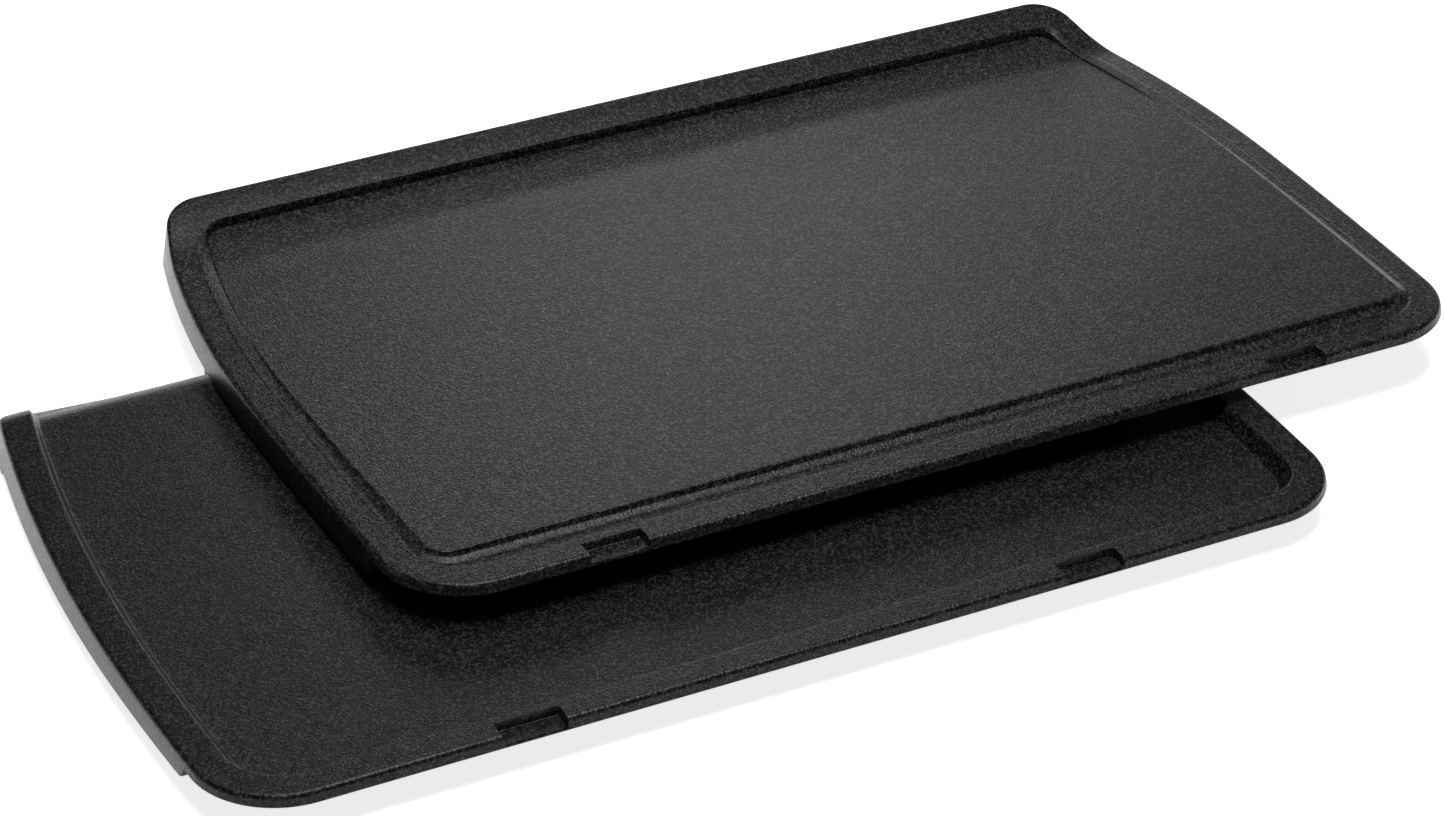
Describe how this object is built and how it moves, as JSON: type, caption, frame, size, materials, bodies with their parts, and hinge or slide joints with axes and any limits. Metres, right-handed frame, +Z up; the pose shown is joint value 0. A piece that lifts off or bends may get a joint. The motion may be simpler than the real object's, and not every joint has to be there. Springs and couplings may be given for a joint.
{
  "type": "griddle plate set",
  "caption": "Non-stick griddle plates of a contact grill: a shallow tray plate with a rolled rear drain edge under a plate with a raised field and a rising rear rim.",
  "frame": {"origin": "centre of the stack's bounding box, on the surface it rests on", "axes": "+Z up, +X to the right along the plates' front edges, +Y from the front edges to the rear"},
  "size_m": [0.4184, 0.2848, 0.0275],
  "materials": {
    "tray_coating": "black non-stick coating with a fine light fleck, satin, on die-cast aluminium",
    "raised_coating": "black non-stick coating with a fine light fleck, satin, on die-cast aluminium"
  },
  "bodies": {
    "tray_plate": {"tray_griddle_plate": "tray_coating"},
    "raised_plate": {"raised_griddle_plate": "raised_coating"}
  },
  "joints": [
    {"name": "raised_plate_lift", "type": "slide", "parent": "tray_plate", "child": "raised_plate", "axis": [0, 0, 1], "range_m": [0, 0.08]}
  ]
}
